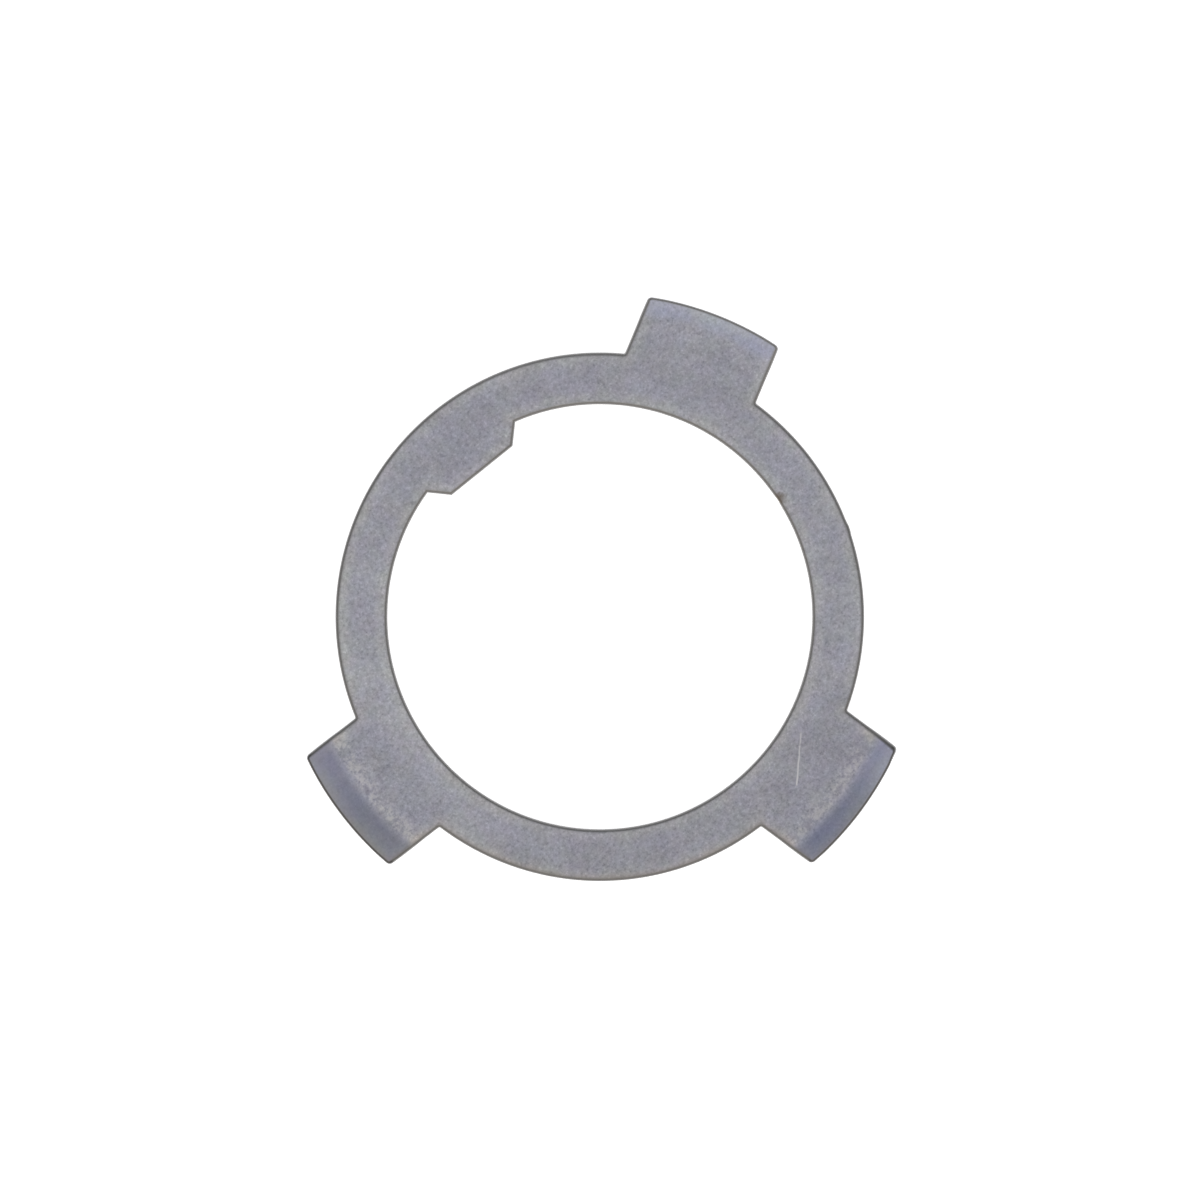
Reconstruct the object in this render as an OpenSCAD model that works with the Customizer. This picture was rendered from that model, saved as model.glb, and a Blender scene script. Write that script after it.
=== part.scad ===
// Tab washer, stamped from one piece of sheet steel.
// The underside lies on z = 0, the bore's axis is the z axis and the key stands on the +y side of the bore.

/* [Sheet] */
// Thickness of the sheet
sheet_t = 1.5; // [1:0.1:2.5]

/* [Ring] */
// Diameter of the bore that slips over the threaded spindle
bore_d = 70.5; // [66:0.5:74]
// Diameter of the ring's rim between the tabs
rim_d = 87.7; // [84:0.1:92]

/* [Key] */
// Width of the key's flat tip
key_tip_w = 13; // [8:0.5:18]
// How far the key reaches into the bore
key_depth = 4.1; // [2:0.1:6]
// Slope of each flank of the key from the key's middle line, in degrees
key_flank_angle = 45; // [20:1:55]

/* [Tabs] */
// Diameter of the circle that the tabs' tips reach
tip_d = 108; // [106:0.1:116]
// Radius of the two corners at each tip
tip_corner_r = 0.75; // [0.4:0.05:1.5]
// Radius of the inside corners where each tab leaves the rim
root_corner_r = 0.3; // [0.2:0.05:1]
// Inside radius of the bend near each tip, which follows a circle about the bore's axis
bend_r = 7; // [3:0.5:9]
// Angle that each tab's end is bent up, in degrees
bend_angle = 12; // [6:1:16]

/* [Tab A] */
// Direction from the key, anticlockwise seen from above, in degrees
tab_a_angle = -61.5; // [-66:0.5:-56]
// Width
tab_a_w = 23.2; // [20:0.1:26]
// Sideways shift of the tab off the radius, anticlockwise
tab_a_shift = 1.4; // [-2:0.1:2]
// Length of the lip past the bend
tab_a_lip = 2.2; // [1.6:0.1:4.5]

/* [Tab B] */
// Direction from the key, anticlockwise seen from above, in degrees
tab_b_angle = 88.75; // [84:0.05:94]
// Width
tab_b_w = 22.8; // [20:0.1:26]
// Sideways shift of the tab off the radius, anticlockwise
tab_b_shift = 0; // [-2:0.1:2]
// Length of the lip past the bend
tab_b_lip = 3.9; // [1.6:0.1:4.5]

/* [Tab C] */
// Direction from the key, anticlockwise seen from above, in degrees
tab_c_angle = 194.58; // [190:0.01:200]
// Width
tab_c_w = 23.9; // [20:0.1:26]
// Sideways shift of the tab off the radius, anticlockwise
tab_c_shift = 0; // [-2:0.1:2]
// Length of the lip past the bend
tab_c_lip = 3; // [1.6:0.1:4.5]

/* [Hidden] */
$fn = 180;

bore_r = bore_d / 2;
rim_r = rim_d / 2;
tip_r = tip_d / 2;
ring_mid_r = (bore_r + rim_r) / 2;
key_root_w = key_tip_w + 2 * key_depth * tan(key_flank_angle);
// Direction of the key from the bore's axis
key_direction = 90;
// A rounding circle runs this far past the two lines that it rounds, so that it crosses them cleanly
overrun = 0.001;
// A cutter reaches this many times as far as what it cuts
reach = 4;
// A tab's section is turned through this angle, half of it to each side of the tab's middle
sector = 180;

// Height of a bend's axis above the underside
bend_axis_h = sheet_t + bend_r - overrun;
// Directions from that axis to where the bend starts and ends, in a tab's section
bend_start = [0, -1];
bend_end = [sin(bend_angle), -cos(bend_angle)];
// Direction in which the lip runs on from there
lip_run = [cos(bend_angle), sin(bend_angle)];

// Each tab's direction, width, sideways shift and lip
tabs = [
    [tab_a_angle, tab_a_w, tab_a_shift, tab_a_lip],
    [tab_b_angle, tab_b_w, tab_b_shift, tab_b_lip],
    [tab_c_angle, tab_c_w, tab_c_shift, tab_c_lip],
];

// Distance from the bore's axis to where a tab starts to bend, so that its tip meets the tips' circle
function crease(lip) = tip_r - bend_axis_h * sin(bend_angle) - lip * cos(bend_angle);

// The point of a circle about the origin that lies a given distance aside from the x axis
function on_circle(r, aside) = [sqrt(pow(r, 2) - pow(aside, 2)), aside];

function unit(v) = v / norm(v);

// The area outside a rounding circle, between two directions from its centre and out to a given distance
module corner_gap(centre, r, towards_a, towards_b, out_to) {
    difference() {
        polygon([centre, centre + out_to * towards_a, centre + out_to * towards_b]);
        translate(centre) circle(r);
    }
}

// Flat outline of the key, from inside the ring to its flat tip
module key_outline() {
    polygon([
        [-key_tip_w / 2, bore_r - key_depth],
        [key_tip_w / 2, bore_r - key_depth],
        [key_root_w / 2, bore_r],
        [-key_root_w / 2, bore_r],
    ]);
}

// What rounds the inside corners at the root of a tab that points along +x
module root_fill(w, shift) {
    gap = root_corner_r - overrun;
    for (side = [-1, 1]) {
        centre = on_circle(rim_r + gap, shift + side * (w / 2 + gap));
        corner_gap(centre, root_corner_r, -unit(centre), [0, -side], reach * root_corner_r);
    }
}

// Flat outline of the ring and the key, with the round inside corners for the tabs
module ring_outline() {
    difference() {
        union() {
            circle(rim_r);
            for (tab = tabs) {
                rotate(key_direction + tab[0]) root_fill(tab[1], tab[2]);
            }
        }
        circle(bore_r);
    }
    key_outline();
}

// Section of a tab through the bore's axis, from the bore to past the tip.
// Two straight strips meet at a corner, which is filled round inside the bend and cut round outside it.
module tab_section(lip) {
    axis = [crease(lip), bend_axis_h];
    run_out = (lip + sheet_t) * lip_run;
    upper_r = bend_axis_h - sheet_t;
    difference() {
        union() {
            polygon([
                [bore_r, 0],
                [axis.x + bend_axis_h * tan(bend_angle / 2), 0],
                axis + bend_axis_h * bend_end + run_out,
                axis + upper_r * bend_end + run_out,
                [axis.x + upper_r * tan(bend_angle / 2), sheet_t],
                [bore_r, sheet_t],
            ]);
            corner_gap(axis, bend_r, bend_start, bend_end, bend_r + sheet_t / 2);
        }
        corner_gap(axis, bend_r + sheet_t, bend_start, bend_end, bend_r + 2 * sheet_t);
    }
}

// Outline seen from above of a tab that points along +x, from inside the ring to its round-cornered tip
module tab_outline(w, shift) {
    inset = tip_corner_r - overrun;
    difference() {
        intersection() {
            translate([ring_mid_r, shift - w / 2]) square([tip_r, w]);
            circle(tip_r);
        }
        for (side = [-1, 1]) {
            centre = on_circle(tip_r - inset, shift + side * (w / 2 - inset));
            corner_gap(centre, tip_corner_r, unit(centre), [0, side], reach * tip_corner_r);
        }
    }
}

// A tab that points along +x: its section turned about the bore's axis, then cut to its outline
module tab(w, shift, lip) {
    intersection() {
        rotate(-sector / 2) rotate_extrude(angle = sector) tab_section(lip);
        translate([0, 0, -sheet_t]) linear_extrude(reach * (sheet_t + lip)) tab_outline(w, shift);
    }
}

module tab_washer() {
    color("slategray")
        union() {
            linear_extrude(sheet_t) ring_outline();
            for (tab = tabs) {
                rotate(key_direction + tab[0]) tab(tab[1], tab[2], tab[3]);
            }
        }
}

tab_washer();
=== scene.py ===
"""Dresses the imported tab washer: a sheet steel blank with rolled edges, three bent tabs and a keyed bore."""

import math
from typing import NamedTuple

import bmesh
import bpy
from bpy.props import FloatProperty, FloatVectorProperty, PointerProperty
from mathutils import Matrix, Vector


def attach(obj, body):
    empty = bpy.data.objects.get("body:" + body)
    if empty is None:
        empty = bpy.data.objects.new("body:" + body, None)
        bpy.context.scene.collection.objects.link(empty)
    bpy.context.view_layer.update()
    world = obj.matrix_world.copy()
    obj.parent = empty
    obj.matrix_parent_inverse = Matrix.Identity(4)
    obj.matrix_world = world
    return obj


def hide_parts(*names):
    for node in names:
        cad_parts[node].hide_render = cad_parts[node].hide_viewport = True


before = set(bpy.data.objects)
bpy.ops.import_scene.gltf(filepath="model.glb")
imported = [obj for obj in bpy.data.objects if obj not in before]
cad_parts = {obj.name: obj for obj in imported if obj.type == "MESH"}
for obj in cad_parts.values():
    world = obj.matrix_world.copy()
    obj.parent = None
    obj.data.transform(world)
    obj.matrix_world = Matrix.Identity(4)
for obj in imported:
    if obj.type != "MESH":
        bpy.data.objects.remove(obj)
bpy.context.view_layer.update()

bl_info = {
    "name": "Tab washer",
    "version": (1, 0, 0),
    "blender": (4, 5, 0),
    "location": "3D View > Sidebar > Tab washer",
    "description": "Builds a stamped steel tab washer and the stage that shows it",
    "category": "Mesh",
}

MM = 0.001
UP = Vector((0, 0, 1))
BORE_AXIS = Vector((0, 0, 0))
# Direction of the key from the bore's axis
KEY_DIRECTION = math.radians(90)


def degrees(*angles):
    """Angles in degrees, as Blender keeps them."""
    return tuple(math.radians(angle) for angle in angles)


def toward(turn):
    """Level direction from the bore's axis, at an angle from +X."""
    return Vector((math.cos(turn), math.sin(turn), 0))


class TabLook(NamedTuple):
    """How one tab has been cut, bent and worn, with the painted light and shade on its lip and tip."""

    # How much the punch has pulled down its corners, on the clockwise side and on the other
    right_pull: float
    left_pull: float
    # How much its bend is scuffed, which also sets the painted highlights at its ends
    scuffs: float
    # Painted shade and a cool painted reflection on its lip, for how the lip faces the light, and how much
    # smoother the lip is than the flat sheet
    lip_shade_tint: tuple
    lip_smoothness: float
    # How much painted light brightens its lip at one end, and how far aside of the tab's middle that starts and
    # is full
    painted_light_end: float
    painted_light_span: tuple
    # How light the rolled edge is at its tip: painted light and shade for how the tip faces the light
    tip_shade: float


TAB_LOOKS = (
    TabLook(
        right_pull=0.3,
        left_pull=0.3,
        scuffs=0.1,
        lip_shade_tint=(0.865, 0.91, 0.99),
        lip_smoothness=0.25,
        painted_light_end=0,
        painted_light_span=(0, MM),
        tip_shade=1.0,
    ),
    TabLook(
        right_pull=0.3,
        left_pull=0.4,
        scuffs=0.55,
        lip_shade_tint=(0.715, 0.72, 0.755),
        lip_smoothness=0.6,
        painted_light_end=0.45,
        painted_light_span=(4 * MM, -8 * MM),
        tip_shade=0.5,
    ),
    TabLook(
        right_pull=0.4,
        left_pull=1.4,
        scuffs=0.4,
        lip_shade_tint=(0.71, 0.734, 0.82),
        lip_smoothness=0.5,
        painted_light_end=1,
        painted_light_span=(0, 9 * MM),
        tip_shade=0.65,
    ),
)

# Largest turn of one edge of an arc about the bore's axis
ARC_STEP = math.radians(1)
# Segments across a rounded corner or a rolled edge, and across a broken edge
ROUND_SEGMENTS = 6
BREAK_SEGMENTS = 2
# Width of the two rows of faces that keep the flat faces flat next to a rounded edge
SUPPORT_ROW = 0.06 * MM
# Distance under which two places are the same
TOUCH = 1e-7
# Angle past which two faces of the blank are a flat face and the cut edge, in radians
CUT_ANGLE = 1
# Angle past which the edge between two faces of the washer shows as sharp
SHARP_ANGLE = math.radians(32)
# Cuts across a tab's flat part, and rows and columns of its bent end
FLAT_CUTS = 5
BENT_ROWS = 24
BENT_COLUMNS = 16
# How far from a tab's side the pull of its corners reaches, and how fast it grows towards the tip
PULL_REACH = 3 * MM
PULL_GROWTH = 1.5
# Where the bump on the rim and the nick in the bore's edge are, and half their lengths
BUMP_TURN = math.radians(-19.2)
BUMP_HALF_LENGTH = 0.9 * MM
NICK_TURN = math.radians(-5.6)
NICK_HALF_LENGTH = 0.8 * MM
# Share of a push under which a point stays where it is
PUSH_LEAST = 0.02

# Sizes of the steel's mottling, and of the two changes of hue
SPECK_SIZE = 0.33 * MM
GRAIN_SIZE = 0.62 * MM
BLOTCH_SIZE = 1.9 * MM
CLOUD_SIZE = 7 * MM
ROSY_SIZE = 2.6 * MM
COOL_SIZE = 3.3 * MM
# Middle value of every noise
NOISE_MIDDLE = 0.5
# Share of the grain in the mottling, the rest being specks
GRAIN_SHARE = 0.75
# Values of the noises between which the light grains, the hues and the other mottles come up
LIGHT_GRAIN_SPAN = (-0.37, 0.31)
HUE_SPAN = (0.3, 0.7)
CLOUD_SPAN = (0.35, 0.65)
BLOTCH_SPAN = (0.43, 0.25)
GLINT_SPAN = (0.6, 0.74)
PIT_SPAN = (0.39, 0.25)
LIP_BLUE_SPAN = (0.45, 0.6)
SCUFF_SPAN = (0.46, 0.62)
# How much the clouds and the blotches dull the face
CLOUD_DULLNESS = 0.5
BLOTCH_DULLNESS = 0.9

# The side of the washer that has dulled: its direction, the distances along it over which the dulling
# grows, and how much it dulls
DULL_SIDE = toward(math.radians(268))
DULL_SIDE_SPAN = (15 * MM, 45 * MM)
DULL_SIDE_SHARE = 0.46
# The dullest stretch of the ring: its direction, how closely a place has to lie in it, and how much it dulls
DULL_SPOT = toward(math.radians(228))
DULL_SPOT_SPAN = (0.8, 1.0)
DULL_SPOT_SHARE = 0.75
# The duller face round the key, likewise, with the distances from the bore's axis between which it ends
KEY_SIDE = toward(math.radians(100))
KEY_SIDE_SPAN = (31 * MM, 38 * MM)
KEY_SIDE_SHARE = 0.6
KEY_SIDE_END = (41.5 * MM, 38.5 * MM)
# How much the tabs' bases are dulled
BASE_DULLNESS = 0.5
# The side of the washer that has stayed brighter, and the distances along the second tab where it ends
BRIGHT_SIDE = toward(math.radians(158))
BRIGHT_SIDE_SPAN = (18 * MM, 43 * MM)
BRIGHT_SIDE_END = (41.5 * MM, 38.5 * MM)
# The worn side of the first tab: where it starts along the tab and aside of the tab's middle
WORN_TAB_SPAN = (40 * MM, 46 * MM)
WORN_TAB_ASIDE = (0, -6 * MM)
# Distances from an edge between which the face gets brighter, gets its painted warm light, takes the painted
# shade of the rolled edge's shoulder, and shows the painted highlights at the bends' ends
WORN_EDGE_SPAN = (2.8 * MM, 0.7 * MM)
WARM_EDGE_SPAN = (1.5 * MM, 0.6 * MM)
SHOULDER_SPAN = (0.9 * MM, 0.45 * MM)
BEND_END_SPAN = (2.2 * MM, 1.0 * MM)
# How dark the painted shade on the shoulder of the rolled edge is, and how much less at the tips and by the
# bore
SHOULDER_SHARE = 0.45
SHOULDER_LESS_AT_TIP = 0.35
SHOULDER_LESS_BY_BORE = 0.25
# The near side of the washer, the side the light leans to, whose rim edges get a painted warm light, and the
# distances where that starts, along it and from the bore's axis
NEAR_SIDE = toward(math.radians(231))
NEAR_SIDE_SPAN = (25 * MM, 40 * MM)
RIM_STRIP = (40 * MM, 42 * MM)
# The other side, whose rim has painted light, and the strip along the bore, with how much lighter the painted
# light makes their rolled edges
FAR_SIDE_SPAN = (-25 * MM, -42 * MM)
FAR_RIM_LIGHT = 0.27
BORE_STRIP = (39 * MM, 37 * MM)
BORE_LIGHT = 0.12

# Distances along a tab's direction between which its own side of the washer starts, and its base
TAB_SIDE_SPAN = (20 * MM, 30 * MM)
TAB_BASE_SPAN = (37 * MM, 41 * MM)
# Distances past a tab's crease between which its base ends, and its scuffs start and end
BASE_END_SPAN = (-1.5 * MM, -3.5 * MM)
SCUFF_START_SPAN = (-3.2 * MM, -0.6 * MM)
SCUFF_END_SPAN = (-0.1 * MM, 0.8 * MM)
# How far the lip's finish fades past both ends of the bend
LIP_FADE = 0.25 * MM
# Distances short of a tab's tip between which the tip's edge starts
TIP_SPAN = (1.3 * MM, 0.7 * MM)
# Share of the grain in the scuffs, the rest being blotches
SCUFF_GRAIN_SHARE = 0.6

# The scratch on the third tab: its ends, how far it wanders, and half its width where it fades and is full
SCRATCH_START = Vector((14.05, -35.75, 0)) * MM
SCRATCH_END = Vector((7.88, -42.27, 0)) * MM
SCRATCH_WANDER = 0.25 * MM
SCRATCH_WIDTH_SPAN = (0.2 * MM, 0.05 * MM)
# Distances past its start, and past its end, between which it comes up
SCRATCH_START_SPAN = (-0.2 * MM, 0.5 * MM)
SCRATCH_END_SPAN = (0.2 * MM, -0.3 * MM)
# How much of it shows at its start, the grain that breaks it, and heights where the upper face starts
SCRATCH_START_SHARE = 0.7
SCRATCH_GRAIN_SPAN = (0.2, 0.45)
UPPER_SPAN = (0.9 * MM, 1.1 * MM)
# The stain by the bore: its middle, raggedness, the distances over which it fades, and how much it covers
STAIN_MIDDLE = Vector((35.5, -3.3, 0)) * MM
STAIN_RAGGEDNESS = 1.2 * MM
STAIN_SPAN = (1.55 * MM, 0.2 * MM)
STAIN_SHARE = 0.8

# The cut edge: heights between which it is torn, how ragged their line is, and the torn grains above it
TORN_SPAN = (0.5, 0.38)
TORN_RAGGEDNESS = 0.35
TORN_GRAIN_SPAN = (0.65, 0.35)
TORN_GRAIN_SHARE = 0.6
# How far a point has turned from the face where the rolled edge and the cut come up
ROLLED_SPAN = (0.0, 0.5)
CUT_SPAN = (0.62, 1.0)

# Roughness of the steel, how much grain and clouds change it, and how much lips and scuffs do
ROUGHNESS = 0.46
GRAIN_ROUGHNESS = 0.2
CLOUD_ROUGHNESS = 0.08
LIP_ROUGHNESS = -0.1
SCUFF_ROUGHNESS = 0.04
METALLIC = 0.9
# Share of the grain in the bump, the rest being specks, and the bump's strength and depth
BUMP_GRAIN_SHARE = 0.6
BUMP_STRENGTH = 0.25
BUMP_DEPTH = 0.02 * MM

# Half the floor's width, and how far it lies under the washer
FLOOR_HALF_WIDTH = 6
FLOOR_DROP = 0.02 * MM
FLOOR_ROUGHNESS = 0.9
# How closely a direction has to follow the middle of the light overhead, or be level for the walls
OVERHEAD_SPAN = (0.55, 1.0)
WALL_SPAN = (0.6, 0.3)
# Colours of the light from the far and near side of the picture, and where one turns to the other
FAR_LIGHT = (0.97, 0.99, 1.02)
NEAR_LIGHT = (1.06, 1.0, 0.93)
LIGHT_COLOUR_SPAN = (-0.7, 0.7)
CAMERA_REACH = 100


class WasherSizes(bpy.types.PropertyGroup):
    """Sizes of the washer. Lists of three are for the tabs, anticlockwise from the one next to the key."""

    sheet_thickness: FloatProperty(
        name="Sheet thickness", description="Thickness of the steel sheet", default=1.5 * MM, unit="LENGTH"
    )
    bore_diameter: FloatProperty(
        name="Bore diameter", description="Diameter of the round bore", default=70.5 * MM, unit="LENGTH"
    )
    rim_diameter: FloatProperty(
        name="Rim diameter",
        description="Diameter of the ring between the tabs",
        default=87.7 * MM,
        unit="LENGTH",
    )
    key_tip_width: FloatProperty(
        name="Key tip width", description="Width of the key's flat tip", default=13 * MM, unit="LENGTH"
    )
    key_depth: FloatProperty(
        name="Key depth",
        description="How far the key reaches into the bore",
        default=4.1 * MM,
        unit="LENGTH",
    )
    key_flank_angle: FloatProperty(
        name="Key flank angle",
        description="Slope of the key's flanks from its middle line",
        default=math.radians(45),
        unit="ROTATION",
    )
    tip_diameter: FloatProperty(
        name="Tip diameter",
        description="Diameter of the circle that the tabs' tips reach",
        default=108 * MM,
        unit="LENGTH",
    )
    tip_corner_radius: FloatProperty(
        name="Tip corner radius",
        description="Radius of the corners at each tip",
        default=0.75 * MM,
        unit="LENGTH",
    )
    root_corner_radius: FloatProperty(
        name="Root corner radius",
        description="Radius of the inside corners where a tab leaves the rim",
        default=0.3 * MM,
        unit="LENGTH",
    )
    bend_radius: FloatProperty(
        name="Bend radius", description="Inside radius of each tab's bend", default=7 * MM, unit="LENGTH"
    )
    bend_angle: FloatProperty(
        name="Bend angle",
        description="How far each tab's end is bent up",
        default=math.radians(12),
        unit="ROTATION",
    )
    tab_directions: FloatVectorProperty(
        name="Tab directions",
        description="Each tab's direction from the key, anticlockwise",
        default=degrees(-61.5, 88.75, 194.58),
        unit="ROTATION",
    )
    tab_widths: FloatVectorProperty(
        name="Tab widths",
        description="Each tab's width",
        default=(23.2 * MM, 22.8 * MM, 23.9 * MM),
        unit="LENGTH",
    )
    tab_shifts: FloatVectorProperty(
        name="Tab shifts",
        description="How far each tab sits off its radius, anticlockwise",
        default=(1.4 * MM, 0, 0),
        unit="LENGTH",
    )
    lip_lengths: FloatVectorProperty(
        name="Lip lengths",
        description="Length of each tab's lip past its bend",
        default=(2.2 * MM, 3.9 * MM, 3 * MM),
        unit="LENGTH",
    )
    tip_trims: FloatVectorProperty(
        name="Tip trims",
        description="How far each tab's tip stays short of the tips' circle",
        default=(0.28 * MM, 0, 0),
        unit="LENGTH",
    )
    edge_roll: FloatProperty(
        name="Edge roll",
        description="Radius of the upper edge, which the punch has rolled over",
        default=0.58 * MM,
        unit="LENGTH",
    )
    corner_pull: FloatProperty(
        name="Corner pull",
        description="How far the punch has pulled down the tabs' corners",
        default=0.12 * MM,
        unit="LENGTH",
    )
    edge_break: FloatProperty(
        name="Edge break", description="Radius of the lower edge", default=0.06 * MM, unit="LENGTH"
    )
    rim_bump: FloatProperty(
        name="Rim bump",
        description="How far the small bump on the rim stands out",
        default=0.14 * MM,
        unit="LENGTH",
    )
    bore_nick: FloatProperty(
        name="Bore nick",
        description="Depth of the small nick in the bore's edge",
        default=0.1 * MM,
        unit="LENGTH",
    )


class WasherColours(bpy.types.PropertyGroup):
    """Colours of the washer's steel. A tint multiplies the colour under it."""

    steel_dark: FloatVectorProperty(
        name="Dark grain",
        description="Dark grains of the sheet's face",
        default=(0.229, 0.2357, 0.2733),
        subtype="COLOR",
    )
    steel_light: FloatVectorProperty(
        name="Light grain",
        description="Light grains of the sheet's face",
        default=(0.4696, 0.4811, 0.5575),
        subtype="COLOR",
    )
    blue: FloatVectorProperty(
        name="Blue tint", description="Bluish blotches of the sheet", default=(1.0, 0.9937, 1.0325)
    )
    yellow: FloatVectorProperty(
        name="Yellow tint", description="Yellowish blotches of the sheet", default=(1.0, 1.0063, 0.9675)
    )
    pink: FloatVectorProperty(
        name="Pink tint", description="Pinkish blotches of the sheet", default=(1.015, 0.993, 1.0)
    )
    green: FloatVectorProperty(
        name="Green tint", description="Greenish blotches of the sheet", default=(0.985, 1.007, 1.0)
    )
    glint: FloatVectorProperty(
        name="Glint tint", description="Sparse light specks of the sheet", default=(1.16, 1.16, 1.15)
    )
    pit: FloatVectorProperty(
        name="Pit tint", description="Sparse dark specks of the sheet", default=(0.84, 0.84, 0.85)
    )
    worn: FloatVectorProperty(
        name="Worn tint", description="Brighter steel along the edges", default=(1.125, 1.12, 1.045)
    )
    bright: FloatVectorProperty(
        name="Bright tint",
        description="Side of the washer that has stayed brighter",
        default=(1.075, 1.075, 1.06),
    )
    dull: FloatVectorProperty(
        name="Dull tint", description="Side of the washer that has dulled", default=(0.89, 0.885, 0.89)
    )
    # Painted warm light on the rim's edges on the near side
    warm: FloatVectorProperty(
        name="Warm tint", description="Slightly browned edges", default=(1.03, 0.985, 0.94)
    )
    scuffed: FloatVectorProperty(
        name="Scuffed steel",
        description="Bright scuffs along the bends",
        default=(0.56, 0.56, 0.56),
        subtype="COLOR",
    )
    lip_blue: FloatVectorProperty(
        name="Lip blue tint", description="Bluish patches of the lips", default=(1.0, 1.0, 1.06)
    )
    # Bright spots where a bend meets a tab's side: a painted highlight on the bulge there, with its scuffs
    bend_end: FloatVectorProperty(
        name="Bend end tint",
        description="Bright spots where a bend meets a tab's side",
        default=(1.3, 1.22, 1.12),
    )
    # Painted light on one end of the lips
    painted_light_end: FloatVectorProperty(
        name="Light end tint", description="Lighter ends of the lips", default=(1.3, 1.285, 1.3)
    )
    lip_end: FloatVectorProperty(
        name="Lip end tint", description="Lips next to their tips", default=(1.04, 1.04, 1.02)
    )
    # Upper rolled edge: partly its own darker steel, partly painted shade for the shade that the roll catches
    rolled: FloatVectorProperty(
        name="Rolled edge",
        description="Upper edge, rolled over",
        default=(0.2, 0.197, 0.195),
        subtype="COLOR",
    )
    sheared: FloatVectorProperty(
        name="Sheared edge",
        description="Smooth upper part of the cut",
        default=(0.34, 0.34, 0.345),
        subtype="COLOR",
    )
    torn: FloatVectorProperty(
        name="Torn edge",
        description="Rough lower part of the cut",
        default=(0.21, 0.205, 0.20),
        subtype="COLOR",
    )
    scratch: FloatVectorProperty(
        name="Scratch",
        description="Bare steel in the scratch",
        default=(0.57, 0.575, 0.605),
        subtype="COLOR",
    )
    stain: FloatVectorProperty(
        name="Stain",
        description="Small rust stain by the bore",
        default=(0.155, 0.13, 0.105),
        subtype="COLOR",
    )


class StageSettings(bpy.types.PropertyGroup):
    """Floor, light and camera."""

    floor: FloatVectorProperty(
        name="Floor", description="Colour of the floor", default=(0.9, 0.9, 0.91), subtype="COLOR"
    )
    floor_glow: FloatProperty(
        name="Floor glow", description="Light that the pale floor gives off", default=0.85, min=0
    )
    sky_top: FloatProperty(
        name="Light overhead", description="Brightness of the soft light overhead", default=1.12, min=0
    )
    sky_low: FloatProperty(
        name="Light between",
        description="Brightness between the light overhead and the walls",
        default=0.24,
        min=0,
    )
    sky_wall: FloatProperty(
        name="Light from the walls",
        description="Brightness of the pale walls at the horizon",
        default=0.75,
        min=0,
    )
    light_lean: FloatProperty(
        name="Light lean",
        description="How far the light overhead leans to the near side of the picture",
        default=math.radians(16),
        unit="ROTATION",
    )
    picture_width: FloatProperty(
        name="Picture width",
        description="Width of what the picture shows",
        default=198.94 * MM,
        unit="LENGTH",
    )
    picture_turn: FloatProperty(
        name="Picture turn",
        description="Turn of the camera about the bore's axis",
        default=math.radians(-38.83),
        unit="ROTATION",
    )
    picture_offset: FloatVectorProperty(
        name="Picture offset",
        description="The picture's centre, to the right of the bore's axis and above it",
        size=2,
        default=(0.03 * MM, 2.79 * MM),
        unit="LENGTH",
    )
    camera_height: FloatProperty(
        name="Camera height", description="Height of the camera over the washer", default=1.2, unit="LENGTH"
    )


class Tab:
    """One tab of the flat blank: where it points, where its sides run and where it will be bent."""

    def __init__(self, sizes, index):
        self.look = TAB_LOOKS[index]
        turn = KEY_DIRECTION + sizes.tab_directions[index]
        self.out = toward(turn)
        self.aside = UP.cross(self.out)
        half_width = sizes.tab_widths[index] / 2
        self.right = sizes.tab_shifts[index] - half_width
        self.left = sizes.tab_shifts[index] + half_width
        self.rim = sizes.rim_diameter / 2
        self.tip = sizes.tip_diameter / 2 - sizes.tip_trims[index]
        lip = sizes.lip_lengths[index]
        self.bend = (sizes.bend_radius + sizes.sheet_thickness) * math.sin(sizes.bend_angle)
        self.crease = sizes.tip_diameter / 2 - self.bend - lip * math.cos(sizes.bend_angle)

    def on_circle(self, radius, aside):
        """The point of a circle about the bore's axis that lies a distance aside from the tab's middle line."""
        return self.out * math.sqrt(radius**2 - aside**2) + self.aside * aside

    def unroll(self, place):
        """A place with the circles about the bore's axis laid straight across the tab."""
        out = place.dot(self.out)
        aside = place.dot(self.aside)
        run = self.aside * math.atan2(aside, out) * self.tip
        return self.out * math.hypot(out, aside) + run + UP * place.z

    def roll(self, place):
        """Where an unrolled place lies."""
        turn = place.dot(self.aside) / self.tip
        way = self.out * math.cos(turn) + self.aside * math.sin(turn)
        return way * place.dot(self.out) + UP * place.z


def turn_between(first, last):
    """Anticlockwise angle from one point to another, seen from the bore's axis."""
    return (math.atan2(last.co.y, last.co.x) - math.atan2(first.co.y, first.co.x)) % math.tau


def join_by_arc(bm, first, last):
    """Draws an arc about the bore's axis, anticlockwise from one point to another."""
    turn = turn_between(first, last)
    steps = math.ceil(turn / ARC_STEP)
    arc = bmesh.ops.spin(bm, geom=[first], cent=BORE_AXIS, axis=UP, angle=turn, steps=steps)
    bmesh.ops.weld_verts(bm, targetmap={arc["geom_last"][0]: last})


def round_corners(bm, corners, radius):
    """Rounds corners of a wire outline."""
    for corner in corners:
        first, second = [edge.other_vert(corner).co - corner.co for edge in corner.link_edges]
        cut_back = radius / math.tan(first.angle(second) / 2)
        bmesh.ops.bevel(
            bm,
            geom=[corner],
            offset=cut_back,
            affect="VERTICES",
            segments=ROUND_SEGMENTS,
            profile=0.5,
            material=-1,
        )


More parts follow.
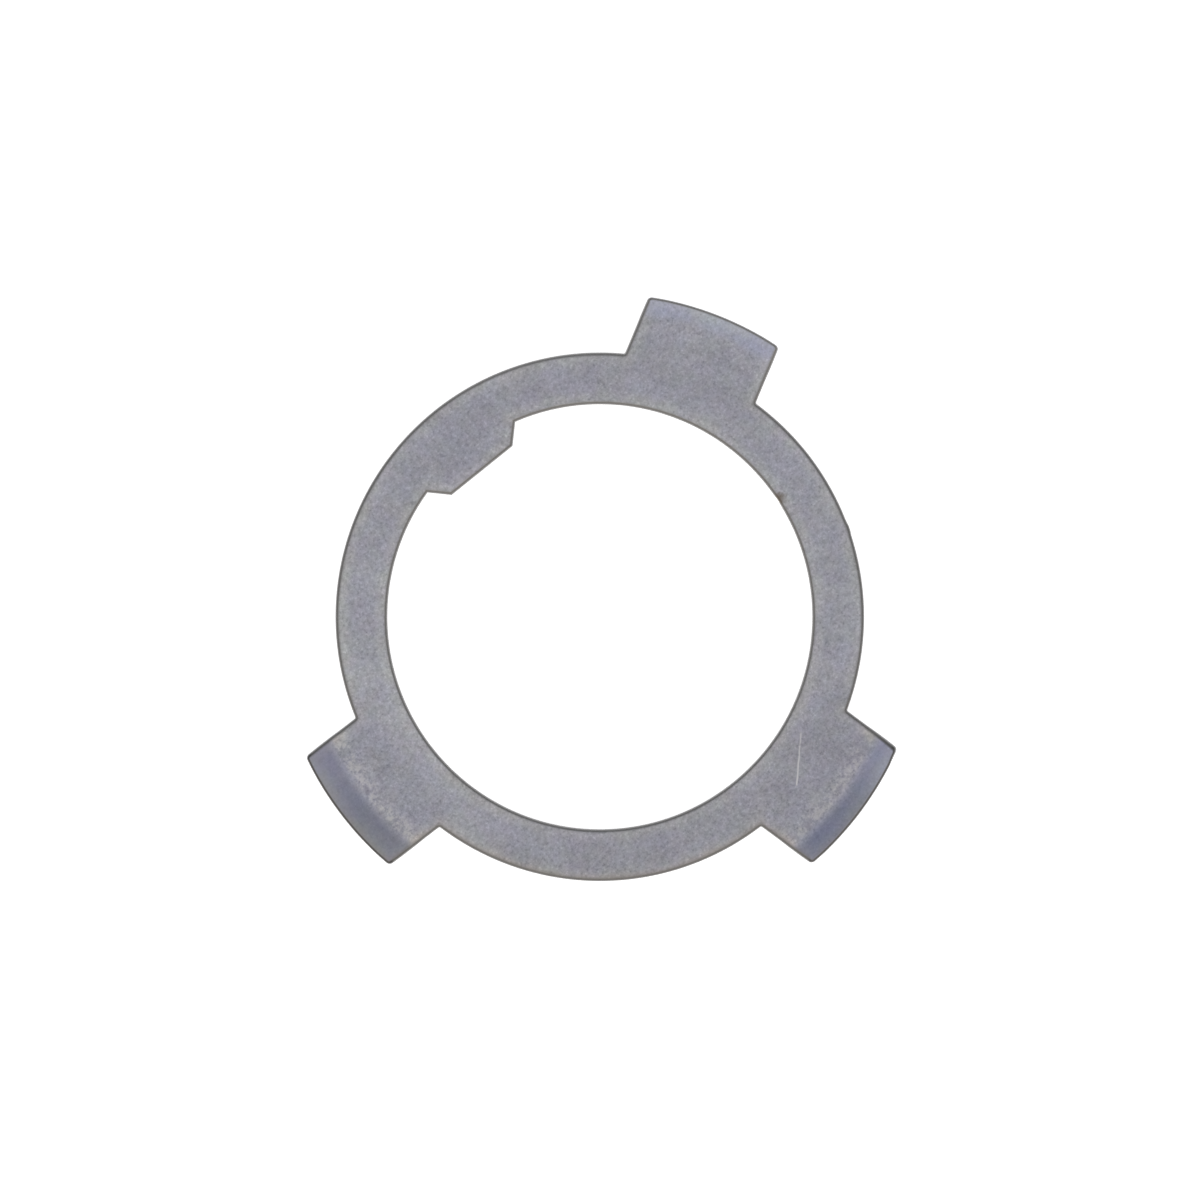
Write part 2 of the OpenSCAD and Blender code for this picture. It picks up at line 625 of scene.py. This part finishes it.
def draw_outer_edge(bm, sizes, tabs):
    """Draws the outer edge of the blank: the rim's arcs and the tabs between them."""
    roots = []
    tips = []
    for tab in tabs:
        right_root = bm.verts.new(tab.on_circle(tab.rim, tab.right))
        right_tip = bm.verts.new(tab.on_circle(tab.tip, tab.right))
        left_tip = bm.verts.new(tab.on_circle(tab.tip, tab.left))
        left_root = bm.verts.new(tab.on_circle(tab.rim, tab.left))
        bm.edges.new((right_root, right_tip))
        join_by_arc(bm, right_tip, left_tip)
        bm.edges.new((left_tip, left_root))
        roots.append((right_root, left_root))
        tips.append((right_tip, left_tip))
    for index, (right_root, left_root) in enumerate(roots):
        next_root = roots[(index + 1) % len(roots)][0]
        join_by_arc(bm, left_root, next_root)
    round_corners(bm, [corner for pair in roots for corner in pair], sizes.root_corner_radius)
    round_corners(bm, [corner for pair in tips for corner in pair], sizes.tip_corner_radius)


def draw_bore(bm, sizes):
    """Draws the edge of the bore, with the key on its +Y side."""
    bore = sizes.bore_diameter / 2
    tip_y = bore - sizes.key_depth
    tip_x = sizes.key_tip_width / 2
    slope = math.tan(sizes.key_flank_angle)
    # Height over the tip at which a flank meets the bore, from the circle's equation
    square = 1 + slope**2
    linear = tip_y + slope * tip_x
    constant = tip_x**2 + tip_y**2 - bore**2
    rise = (-linear + math.sqrt(linear**2 - square * constant)) / square
    root_x = tip_x + slope * rise
    root_y = tip_y + rise
    outline = ((-root_x, root_y), (-tip_x, tip_y), (tip_x, tip_y), (root_x, root_y))
    corners = [bm.verts.new((x, y, 0)) for x, y in outline]
    for first, second in zip(corners, corners[1:]):
        bm.edges.new((first, second))
    join_by_arc(bm, corners[0], corners[3])


def round_edges(bm, height, radius, segments):
    """Rounds the edges between a flat face of the blank and its cut edge, at a height."""
    edges = [
        edge
        for edge in bm.edges
        if all(abs(vert.co.z - height) < TOUCH for vert in edge.verts) and edge.calc_face_angle(0) > CUT_ANGLE
    ]
    bmesh.ops.bevel(
        bm, geom=edges, offset=radius, affect="EDGES", segments=segments, profile=0.5, material=-1
    )


def cut_blank(bm, sizes, tabs):
    """Punches the flat blank: its outline filled, given its thickness, and its edges rolled and broken."""
    draw_outer_edge(bm, sizes, tabs)
    draw_bore(bm, sizes)
    bmesh.ops.triangle_fill(bm, use_beauty=True, edges=bm.edges[:], normal=UP)
    face = bm.faces[:]
    for inset in (sizes.edge_roll + SUPPORT_ROW, SUPPORT_ROW):
        bmesh.ops.inset_region(bm, faces=face, use_boundary=True, use_even_offset=True, thickness=inset)
    walls = bmesh.ops.extrude_face_region(bm, geom=bm.faces[:])
    upper = [item for item in walls["geom"] if isinstance(item, bmesh.types.BMVert)]
    bmesh.ops.translate(bm, verts=upper, vec=UP * sizes.sheet_thickness)
    bmesh.ops.recalc_face_normals(bm, faces=bm.faces[:])
    round_edges(bm, sizes.sheet_thickness, sizes.edge_roll, ROUND_SEGMENTS)
    round_edges(bm, 0, sizes.edge_break, BREAK_SEGMENTS)


def mark_edges(bm, sizes):
    """Marks on the flat blank how far each point has turned from a face to the cut, and how high it lies."""
    bm.normal_update()
    turned = bm.verts.layers.float.new("turned")
    height = bm.verts.layers.float.new("height")
    for vert in bm.verts:
        vert[turned] = vert.normal.xy.length
        vert[height] = vert.co.z / sizes.sheet_thickness


def cut_faces(bm, faces, direction, distance):
    """Cuts faces along the plane that lies a distance along a direction."""
    edges = {edge for face in faces for edge in face.edges}
    corners = {vert for face in faces for vert in face.verts}
    plane = direction * distance
    geom = [*faces, *edges, *corners]
    bmesh.ops.bisect_plane(bm, geom=geom, plane_co=plane, plane_no=direction, dist=TOUCH)


def cut_tab(bm, sizes, tab):
    """Cuts a tab into rows, which follow circles about the bore's axis past its crease, and columns."""
    aside = max(-tab.right, tab.left)
    base = math.sqrt(tab.crease**2 - aside**2) - sizes.sheet_thickness
    for cut in range(1, FLAT_CUTS + 1):
        cut_faces(bm, bm.faces[:], tab.out, tab.rim + (base - tab.rim) * cut / FLAT_CUTS)
    for vert in bm.verts:
        if vert.co.dot(tab.out) > base - TOUCH:
            vert.co = tab.unroll(vert.co)
    for row in range(BENT_ROWS):
        cut_faces(bm, bm.faces[:], tab.out, tab.crease + (tab.tip - tab.crease) * row / BENT_ROWS)
    for column in range(1, BENT_COLUMNS):
        end = [face for face in bm.faces if min(vert.co.dot(tab.out) for vert in face.verts) > base - TOUCH]
        cut_faces(bm, end, tab.aside, tab.right + (tab.left - tab.right) * column / BENT_COLUMNS)
    for vert in bm.verts:
        if vert.co.dot(tab.out) > base - TOUCH:
            vert.co = tab.roll(vert.co)


def pull_corners(bm, sizes, tab):
    """Pulls a tab's upper corners down and widens the roll of its sides towards them, as the punch does."""
    for vert in bm.verts:
        along = (vert.co.dot(tab.out) - tab.rim) / (tab.tip - tab.rim)
        if along <= 0 or vert.co.z < sizes.sheet_thickness / 2:
            continue
        aside = vert.co.dot(tab.aside)
        right = (1, aside - tab.right, tab.look.right_pull)
        left = (-1, tab.left - aside, tab.look.left_pull)
        for inward, depth, pull in (right, left):
            if depth < PULL_REACH:
                share = pull * along**PULL_GROWTH * (1 - depth / PULL_REACH) ** 2
                vert.co += tab.aside * inward * depth * share - UP * sizes.corner_pull * share


def bend_lift(sizes, past_crease, height):
    """How far the bend lifts a point, from its distance past the crease and its height in the flat sheet."""
    radius = sizes.bend_radius + sizes.sheet_thickness - height
    bend = radius * math.sin(sizes.bend_angle)
    if past_crease < bend:
        return radius - math.sqrt(radius**2 - past_crease**2)
    return radius * (1 - math.cos(sizes.bend_angle)) + (past_crease - bend) * math.tan(sizes.bend_angle)


def bend_tab(bm, sizes, tab):
    """Presses a tab's end up, past a crease that follows a circle about the bore's axis."""
    for vert in bm.verts:
        past_crease = vert.co.xy.length - tab.crease
        if past_crease > 0 and vert.co.dot(tab.out) > 0:
            vert.co.z += bend_lift(sizes, past_crease, vert.co.z)


def push_edge(bm, turn, radius, half_length, push):
    """Pushes a short stretch of the cut edge away from the bore's axis."""
    middle = toward(turn) * radius
    for vert in bm.verts:
        flat = Vector((vert.co.x, vert.co.y, 0))
        near = math.exp(-(((flat - middle).length / half_length) ** 2))
        if near > PUSH_LEAST:
            bmesh.ops.translate(bm, verts=[vert], vec=flat.normalized() * push * near)


class Shade:
    """A number or colour that changes over a surface: a node's output, with arithmetic for numbers."""

    def __init__(self, finish, socket):
        self.finish = finish
        self.socket = socket

    def _math(self, operation, first, second):
        return self.finish.add("ShaderNodeMath", {"operation": operation}, {0: first, 1: second})

    def __add__(self, value):
        return self._math("ADD", self, value)

    def __radd__(self, value):
        return self._math("ADD", value, self)

    def __sub__(self, value):
        return self._math("SUBTRACT", self, value)

    def __rsub__(self, value):
        return self._math("SUBTRACT", value, self)

    def __mul__(self, value):
        return self._math("MULTIPLY", self, value)

    def __rmul__(self, value):
        return self._math("MULTIPLY", value, self)

    def __abs__(self):
        return self._math("ABSOLUTE", self, 0)

    def least(self, value):
        """The smaller of two numbers."""
        return self._math("MINIMUM", self, value)

    def most(self, value):
        """The larger of two numbers."""
        return self._math("MAXIMUM", self, value)


class Finish:
    """Adds nodes to a node tree."""

    def __init__(self, tree):
        self.tree = tree
        tree.nodes.clear()

    def add(self, kind, settings=None, sockets=None, output=0):
        """Adds a node: its settings first, then its sockets' values or links. Gives one of its outputs."""
        node = self.tree.nodes.new(kind)
        for name, value in (settings or {}).items():
            setattr(node, name, value)
        for name, value in (sockets or {}).items():
            if isinstance(value, Shade):
                self.tree.links.new(value.socket, node.inputs[name])
            else:
                node.inputs[name].default_value = value
        return Shade(self, node.outputs[output]) if len(node.outputs) else None

    def rise(self, value, low, high):
        """A smooth step from 0 to 1 as a value goes from low to high."""
        sockets = {"Value": value, "From Min": low, "From Max": high}
        return self.add("ShaderNodeMapRange", {"interpolation_type": "SMOOTHSTEP"}, sockets)

    def blend(self, share, first, second, way="MIX"):
        """A mix of two colours, or with MULTIPLY the first one tinted by the second."""
        colours = {0: share}
        for place, colour in ((6, first), (7, second)):
            colours[place] = colour if isinstance(colour, Shade) else (*colour, 1)
        return self.add("ShaderNodeMix", {"data_type": "RGBA", "blend_type": way}, colours, output=2)

    def tint(self, colour, tint, share=1):
        """A colour multiplied by a share of a tint."""
        return self.blend(share, colour, tint, "MULTIPLY")

    def along(self, place, direction):
        """How far a place lies along a direction."""
        sockets = {0: place, 1: direction}
        return self.add("ShaderNodeVectorMath", {"operation": "DOT_PRODUCT"}, sockets, output=1)

    def length(self, place):
        """How far a place lies from the origin."""
        return self.add("ShaderNodeVectorMath", {"operation": "LENGTH"}, {0: place}, output=1)

    def offset(self, place, origin):
        """A place seen from an origin, both flattened on the ground."""
        moved = self.add("ShaderNodeVectorMath", {"operation": "SUBTRACT"}, {0: place, 1: origin})
        return self.add("ShaderNodeVectorMath", {"operation": "MULTIPLY"}, {0: moved, 1: (1, 1, 0)})

    def noise(self, place, size, detail=2, roughness=0.5):
        """Noise with features of about a given size, in metres."""
        sockets = {"Vector": place, "Scale": 1 / size, "Detail": detail, "Roughness": roughness}
        return self.add("ShaderNodeTexNoise", None, sockets)


def distance_from_edge(finish, place, radius, sizes, tabs):
    """Distance of a point of the face from the blank's nearest edge, seen from above."""
    from_outside = sizes.rim_diameter / 2 - radius
    for tab in tabs:
        out = finish.along(place, tab.out)
        aside = finish.along(place, tab.aside)
        from_sides = (aside - tab.right).least(tab.left - aside)
        from_tip = (tab.tip - radius).least(out)
        from_outside = from_outside.most(from_sides.least(from_tip))
    up_key = finish.along(place, (0, 1, 0)) - (sizes.bore_diameter / 2 - sizes.key_depth)
    half_key = up_key * math.tan(sizes.key_flank_angle) + sizes.key_tip_width / 2
    from_flank = (half_key - abs(finish.along(place, (1, 0, 0)))) * math.cos(sizes.key_flank_angle)
    from_bore = (radius - sizes.bore_diameter / 2).most(up_key.least(from_flank))
    return from_outside.least(from_bore)


class Surface:
    """What the finish reads at each point of the steel: where it lies, and the noises that mottle it."""

    def __init__(self, finish, sizes, tabs):
        self.place = finish.add("ShaderNodeTexCoord", output="Object")
        self.turned = finish.add("ShaderNodeAttribute", {"attribute_name": "turned"}, output="Fac")
        self.height = finish.add("ShaderNodeAttribute", {"attribute_name": "height"}, output="Fac")
        flat = finish.offset(self.place, BORE_AXIS)
        self.radius = finish.length(flat)
        self.heading = finish.add("ShaderNodeVectorMath", {"operation": "NORMALIZE"}, {0: flat})
        self.from_edge = distance_from_edge(finish, self.place, self.radius, sizes, tabs)
        self.by_bore = finish.rise(self.radius, *BORE_STRIP)
        self.specks = finish.noise(self.place, SPECK_SIZE, detail=1)
        self.grain = finish.noise(self.place, GRAIN_SIZE, detail=3, roughness=0.6)
        self.blotches = finish.noise(self.place, BLOTCH_SIZE)
        self.clouds = finish.noise(self.place, CLOUD_SIZE)


class TabMarks:
    """How much the tabs' bases, scuffed bends, lips and tips show at each point of the steel."""

    def __init__(self, finish, surface, tabs):
        marks = [self.marks_of(finish, surface, tab) for tab in tabs]
        self.on_base = sum(mark["base"] for mark in marks)
        self.scuffs = sum(mark["scuffs"] for mark in marks)
        self.on_lip = sum(mark["lip"] for mark in marks)
        self.at_lip_end = sum(mark["lip_end"] for mark in marks)
        # Painted light on one end of the lips
        self.at_painted_light_end = sum(mark["painted_light_end"] for mark in marks)
        self.at_tip = sum(mark["tip"] for mark in marks)
        # Painted light and shade on the rolled edge at each tab's tip
        self.tip_shade = sum(mark["tip"] * (tab.look.tip_shade - 1) for tab, mark in zip(tabs, marks))
        self.contrast = 1 - sum(mark["lip"] * tab.look.lip_smoothness for tab, mark in zip(tabs, marks))
        # Lip tints: painted shade and a cool painted reflection for how each lip faces the light
        self.lip_shade_tint = (1, 1, 1)
        for tab, mark in zip(tabs, marks):
            self.lip_shade_tint = finish.blend(mark["lip"], self.lip_shade_tint, tab.look.lip_shade_tint)

    def marks_of(self, finish, surface, tab):
        """The marks of one tab."""
        out = finish.along(surface.place, tab.out)
        here = finish.rise(out, *TAB_SIDE_SPAN)
        past_crease = surface.radius - tab.crease
        scuffs = finish.rise(past_crease, *SCUFF_START_SPAN) - finish.rise(past_crease, *SCUFF_END_SPAN)
        lip = finish.rise(past_crease, -LIP_FADE, tab.bend + LIP_FADE) * here
        # Where the painted light at one end of the lip comes up
        light = finish.rise(finish.along(surface.place, tab.aside), *tab.look.painted_light_span)
        return {
            "base": finish.rise(out, *TAB_BASE_SPAN) * finish.rise(past_crease, *BASE_END_SPAN),
            "scuffs": scuffs * here * tab.look.scuffs,
            "lip": lip,
            "lip_end": finish.rise(past_crease, tab.bend, tab.tip - tab.crease) * here,
            "painted_light_end": lip * light * tab.look.painted_light_end,
            "tip": finish.rise(tab.tip - surface.radius, *TIP_SPAN) * here,
        }


def grained_face(finish, surface, marks, colours):
    """The sheet's face as it was rolled: a fine grain with sparse specks, faint hues and duller blotches."""
    mottle = surface.grain * GRAIN_SHARE + surface.specks * (1 - GRAIN_SHARE) - NOISE_MIDDLE
    light_share = finish.rise(mottle * marks.contrast, *LIGHT_GRAIN_SPAN)
    face = finish.blend(light_share, colours.steel_dark, colours.steel_light)
    cool = finish.rise(finish.noise(surface.place, COOL_SIZE, detail=3), *HUE_SPAN)
    rosy = finish.rise(finish.noise(surface.place, ROSY_SIZE, detail=3), *HUE_SPAN)
    face = finish.tint(face, finish.blend(cool, colours.yellow, colours.blue))
    face = finish.tint(face, finish.blend(rosy, colours.green, colours.pink))
    face = finish.tint(face, colours.dull, finish.rise(surface.clouds, *CLOUD_SPAN) * CLOUD_DULLNESS)
    face = finish.tint(face, colours.dull, finish.rise(surface.blotches, *BLOTCH_SPAN) * BLOTCH_DULLNESS)
    face = finish.tint(face, colours.glint, finish.rise(surface.specks, *GLINT_SPAN) * marks.contrast)
    return finish.tint(face, colours.pit, finish.rise(surface.specks, *PIT_SPAN) * marks.contrast)


def dull_share(finish, surface, marks):
    """Where the face has dulled."""
    by_side = finish.rise(finish.along(surface.place, DULL_SIDE), *DULL_SIDE_SPAN)
    by_spot = finish.rise(finish.along(surface.heading, DULL_SPOT), *DULL_SPOT_SPAN)
    by_key = finish.rise(finish.along(surface.place, KEY_SIDE), *KEY_SIDE_SPAN)
    by_key = by_key * finish.rise(surface.radius, *KEY_SIDE_END)
    on_ring = by_side * DULL_SIDE_SHARE + by_spot * DULL_SPOT_SHARE
    return on_ring + by_key * KEY_SIDE_SHARE + marks.on_base * BASE_DULLNESS


def bright_share(finish, surface, marks, tabs):
    """Where the face has stayed bright: one side of the ring, and one side of the first tab."""
    by_side = finish.rise(finish.along(surface.place, BRIGHT_SIDE), *BRIGHT_SIDE_SPAN)
    by_side = by_side * finish.rise(finish.along(surface.place, tabs[1].out), *BRIGHT_SIDE_END)
    on_tab = finish.rise(finish.along(surface.place, tabs[0].out), *WORN_TAB_SPAN) * (1 - marks.on_lip)
    return by_side + on_tab * finish.rise(finish.along(surface.place, tabs[0].aside), *WORN_TAB_ASIDE)


def aged_face(finish, surface, marks, colours, tabs):
    """The sheet's face as it has aged: duller and brighter stretches and worn along its edges, with painted
    warm light on the near side's rim edges.
    """
    face = grained_face(finish, surface, marks, colours)
    face = finish.tint(face, colours.dull, dull_share(finish, surface, marks))
    face = finish.tint(face, colours.bright, bright_share(finish, surface, marks, tabs))
    face = finish.tint(face, colours.worn, finish.rise(surface.from_edge, *WORN_EDGE_SPAN))
    # Painted warm light on the rim's edges on the near side, the side the light leans to
    warmly_lit = finish.rise(finish.along(surface.place, NEAR_SIDE), *NEAR_SIDE_SPAN)
    warmly_lit = warmly_lit * finish.rise(surface.radius, *RIM_STRIP)
    return finish.tint(face, colours.warm, warmly_lit * finish.rise(surface.from_edge, *WARM_EDGE_SPAN))


def scratch_share(finish, surface):
    """Where the scratch on the third tab shows: a thin, slightly broken line on the upper face."""
    place = surface.place
    length = (SCRATCH_END - SCRATCH_START).length
    run = (SCRATCH_END - SCRATCH_START).normalized()
    across = UP.cross(run)
    along = finish.along(place, run) - SCRATCH_START.dot(run)
    wander = (surface.blotches - NOISE_MIDDLE) * SCRATCH_WANDER
    aside = abs(finish.along(place, across) - SCRATCH_START.dot(across) + wander)
    between = finish.rise(along, *SCRATCH_START_SPAN) * finish.rise(along - length, *SCRATCH_END_SPAN)
    deeper = finish.rise(along, 0, length) * (1 - SCRATCH_START_SHARE) + SCRATCH_START_SHARE
    upper = finish.rise(finish.along(place, UP), *UPPER_SPAN)
    broken = finish.rise(surface.grain, *SCRATCH_GRAIN_SPAN)
    return finish.rise(aside, *SCRATCH_WIDTH_SPAN) * between * deeper * upper * broken


def marked_face(finish, surface, marks, colours, tabs):
    """The sheet's face with the marks of its tabs: lips with painted shade and painted light, scuffed bends
    with painted highlights at their ends, the scratch, and painted shade on the rolled edge's shoulder.
    """
    # Lips tinted with painted shade and a cool painted reflection
    face = finish.tint(aged_face(finish, surface, marks, colours, tabs), marks.lip_shade_tint)
    # Painted light on one end of some lips
    face = finish.tint(face, colours.painted_light_end, marks.at_painted_light_end)
    face = finish.tint(face, colours.lip_blue, marks.on_lip * finish.rise(surface.clouds, *LIP_BLUE_SPAN))
    face = finish.tint(face, colours.lip_end, marks.at_lip_end)
    # Painted highlight, with scuffs, where a bend meets a tab's side
    face = finish.tint(face, colours.bend_end, marks.scuffs * finish.rise(surface.from_edge, *BEND_END_SPAN))
    mottle = surface.grain * SCUFF_GRAIN_SHARE + surface.blotches * (1 - SCUFF_GRAIN_SHARE)
    face = finish.blend(marks.scuffs * finish.rise(mottle, *SCUFF_SPAN), face, colours.scuffed)
    face = finish.blend(scratch_share(finish, surface), face, colours.scratch)
    # Painted shade on the shoulder of the rolled edge, less at the tips and by the bore
    less = marks.at_tip * SHOULDER_LESS_AT_TIP + surface.by_bore * SHOULDER_LESS_BY_BORE
    shoulder = finish.rise(surface.from_edge, *SHOULDER_SPAN) * (SHOULDER_SHARE - less)
    return finish.blend(shoulder, face, colours.rolled)


def cut_edge(finish, surface, marks, colours):
    """The edge that the punch has cut: rolled over on top, in a darker colour that is partly painted shade,
    sheared under that and torn at the bottom.
    """
    # Painted light and shade on the rolled edge: lighter along the bore and on the far side's rim, darker at
    # the second and third tabs' tips
    far_rim = finish.rise(finish.along(surface.place, NEAR_SIDE), *FAR_SIDE_SPAN) * (1 - surface.by_bore)
    shade = surface.by_bore * BORE_LIGHT + far_rim * FAR_RIM_LIGHT + marks.tip_shade + 1
    rolled = finish.tint(colours.rolled, shade)
    ragged_height = surface.height + (surface.grain - NOISE_MIDDLE) * TORN_RAGGEDNESS
    cut = finish.blend(finish.rise(ragged_height, *TORN_SPAN), colours.sheared, colours.torn)
    cut = finish.blend(finish.rise(surface.grain, *TORN_GRAIN_SPAN) * TORN_GRAIN_SHARE, cut, colours.torn)
    return finish.blend(finish.rise(surface.turned, *CUT_SPAN), rolled, cut)


def stain_share(finish, surface):
    """Where the small stain by the bore shows."""
    ragged = (surface.grain - NOISE_MIDDLE) * STAIN_RAGGEDNESS
    away = finish.length(finish.offset(surface.place, STAIN_MIDDLE)) + ragged
    return finish.rise(away, *STAIN_SPAN) * STAIN_SHARE


def steel_finish(sizes, colours, tabs):
    """The washer's steel: grained faces, smoother lips, rolled and torn edges, a scratch and a stain."""
    material = bpy.data.materials.new("washer_steel")
    material.use_nodes = True
    finish = Finish(material.node_tree)
    surface = Surface(finish, sizes, tabs)
    marks = TabMarks(finish, surface, tabs)
    face = marked_face(finish, surface, marks, colours, tabs)
    edge = cut_edge(finish, surface, marks, colours)
    colour = finish.blend(finish.rise(surface.turned, *ROLLED_SPAN), face, edge)
    colour = finish.blend(stain_share(finish, surface), colour, colours.stain)
    rough = (surface.grain - NOISE_MIDDLE) * GRAIN_ROUGHNESS + ROUGHNESS
    rough = rough + (surface.clouds - NOISE_MIDDLE) * CLOUD_ROUGHNESS
    rough = rough + marks.on_lip * LIP_ROUGHNESS + marks.scuffs * SCUFF_ROUGHNESS
    relief = surface.grain * BUMP_GRAIN_SHARE + surface.specks * (1 - BUMP_GRAIN_SHARE)
    sockets = {"Strength": BUMP_STRENGTH, "Distance": BUMP_DEPTH, "Height": relief * marks.contrast}
    bump = finish.add("ShaderNodeBump", None, sockets, output="Normal")
    sockets = {"Base Color": colour, "Roughness": rough, "Metallic": METALLIC, "Normal": bump}
    steel = finish.add("ShaderNodeBsdfPrincipled", None, sockets)
    finish.add("ShaderNodeOutputMaterial", None, {"Surface": steel})
    return material


def make_object(bm, name, material):
    """Makes an object of a bmesh, with one material."""
    mesh = bpy.data.meshes.new(name)
    bm.to_mesh(mesh)
    bm.free()
    mesh.materials.append(material)
    piece = bpy.data.objects.new(name, mesh)
    bpy.context.scene.collection.objects.link(piece)
    return piece


class WASHER_OT_stamp(bpy.types.Operator):
    """Punches the washer from sheet steel, bends its tabs up and gives it its finish"""

    bl_idname = "tab_washer.stamp"
    bl_label = "Stamp the washer"

    def execute(self, context):
        sizes = context.scene.washer_sizes
        colours = context.scene.washer_colours
        tabs = [Tab(sizes, index) for index in range(len(TAB_LOOKS))]
        bm = bmesh.new()
        cut_blank(bm, sizes, tabs)
        mark_edges(bm, sizes)
        for tab in tabs:
            cut_tab(bm, sizes, tab)
            pull_corners(bm, sizes, tab)
            bend_tab(bm, sizes, tab)
        push_edge(bm, BUMP_TURN, sizes.rim_diameter / 2, BUMP_HALF_LENGTH, sizes.rim_bump)
        push_edge(bm, NICK_TURN, sizes.bore_diameter / 2, NICK_HALF_LENGTH, sizes.bore_nick)
        bmesh.ops.recalc_face_normals(bm, faces=bm.faces[:])
        for face in bm.faces:
            face.smooth = True
        for edge in bm.edges:
            edge.smooth = edge.calc_face_angle(0) < SHARP_ANGLE
        washer = make_object(bm, "stamped_washer", steel_finish(sizes, colours, tabs))
        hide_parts("tab_washer")
        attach(washer, "root")
        return {"FINISHED"}


def lay_floor(settings):
    """Lays the pale floor just under the washer."""
    material = bpy.data.materials.new("pale_floor")
    material.use_nodes = True
    finish = Finish(material.node_tree)
    colour = (*settings.floor, 1)
    sockets = {"Base Color": colour, "Roughness": FLOOR_ROUGHNESS, "Emission Color": colour}
    sockets["Emission Strength"] = settings.floor_glow
    surface = finish.add("ShaderNodeBsdfPrincipled", None, sockets)
    finish.add("ShaderNodeOutputMaterial", None, {"Surface": surface})
    bm = bmesh.new()
    bmesh.ops.create_grid(bm, x_segments=1, y_segments=1, size=FLOOR_HALF_WIDTH)
    bmesh.ops.translate(bm, verts=bm.verts[:], vec=UP * -FLOOR_DROP)
    make_object(bm, "floor", material)


def light_sky(settings, toward_viewer):
    """Lights the scene with a soft light overhead, which leans to the near side of the picture."""
    world = bpy.data.worlds.new("soft_light")
    bpy.context.scene.world = world
    world.use_nodes = True
    finish = Finish(world.node_tree)
    middle = UP * math.cos(settings.light_lean) + toward_viewer * math.sin(settings.light_lean)
    direction = finish.add("ShaderNodeTexCoord", output="Generated")
    overhead = finish.rise(finish.along(direction, middle), *OVERHEAD_SPAN)
    walls = finish.rise(finish.along(direction, UP), *WALL_SPAN)
    strength = overhead * (settings.sky_top - settings.sky_low)
    strength = strength + walls * (settings.sky_wall - settings.sky_low) + settings.sky_low
    near = finish.rise(finish.along(direction, toward_viewer), *LIGHT_COLOUR_SPAN)
    colour = finish.blend(near, FAR_LIGHT, NEAR_LIGHT)
    light = finish.add("ShaderNodeBackground", None, {"Color": colour, "Strength": strength})
    finish.add("ShaderNodeOutputWorld", None, {"Surface": light})


def place_camera(settings, sheet_thickness):
    """Looks straight down on the washer, turned and framed as the picture is."""
    turn = Matrix.Rotation(settings.picture_turn, 3, "Z")
    centre = turn @ Vector((*settings.picture_offset, 0))
    data = bpy.data.cameras.new("camera")
    data.lens = data.sensor_width * settings.camera_height / settings.picture_width
    data.clip_end = CAMERA_REACH
    camera = bpy.data.objects.new("camera", data)
    camera.rotation_euler.z = settings.picture_turn
    camera.location = centre + UP * (sheet_thickness + settings.camera_height)
    bpy.context.scene.collection.objects.link(camera)
    bpy.context.scene.camera = camera


class WASHER_OT_stage(bpy.types.Operator):
    """Lays the floor, lights the scene and places the camera"""

    bl_idname = "tab_washer.stage"
    bl_label = "Set the stage"

    def execute(self, context):
        settings = context.scene.washer_stage
        toward_viewer = Matrix.Rotation(settings.picture_turn, 3, "Z") @ Vector((0, -1, 0))
        context.scene.view_settings.view_transform = "Standard"
        lay_floor(settings)
        light_sky(settings, toward_viewer)
        place_camera(settings, context.scene.washer_sizes.sheet_thickness)
        return {"FINISHED"}


class WASHER_PT_panel(bpy.types.Panel):
    """Sizes, colours and stage of the washer, and what builds them"""

    bl_idname = "WASHER_PT_panel"
    bl_label = "Tab washer"
    bl_space_type = "VIEW_3D"
    bl_region_type = "UI"
    bl_category = "Tab washer"

    def draw(self, context):
        layout = self.layout
        for group in (context.scene.washer_sizes, context.scene.washer_colours, context.scene.washer_stage):
            column = layout.column()
            for name in group.__annotations__:
                column.prop(group, name)
        layout.operator(WASHER_OT_stamp.bl_idname)
        layout.operator(WASHER_OT_stage.bl_idname)


CLASSES = (WasherSizes, WasherColours, StageSettings, WASHER_OT_stamp, WASHER_OT_stage, WASHER_PT_panel)


def register():
    for item in CLASSES:
        bpy.utils.register_class(item)
    bpy.types.Scene.washer_sizes = PointerProperty(type=WasherSizes)
    bpy.types.Scene.washer_colours = PointerProperty(type=WasherColours)
    bpy.types.Scene.washer_stage = PointerProperty(type=StageSettings)


def unregister():
    del bpy.types.Scene.washer_stage
    del bpy.types.Scene.washer_colours
    del bpy.types.Scene.washer_sizes
    for item in reversed(CLASSES):
        bpy.utils.unregister_class(item)


def main():
    register()
    bpy.ops.tab_washer.stamp()
    bpy.ops.tab_washer.stage()


if __name__ == "__main__":
    main()
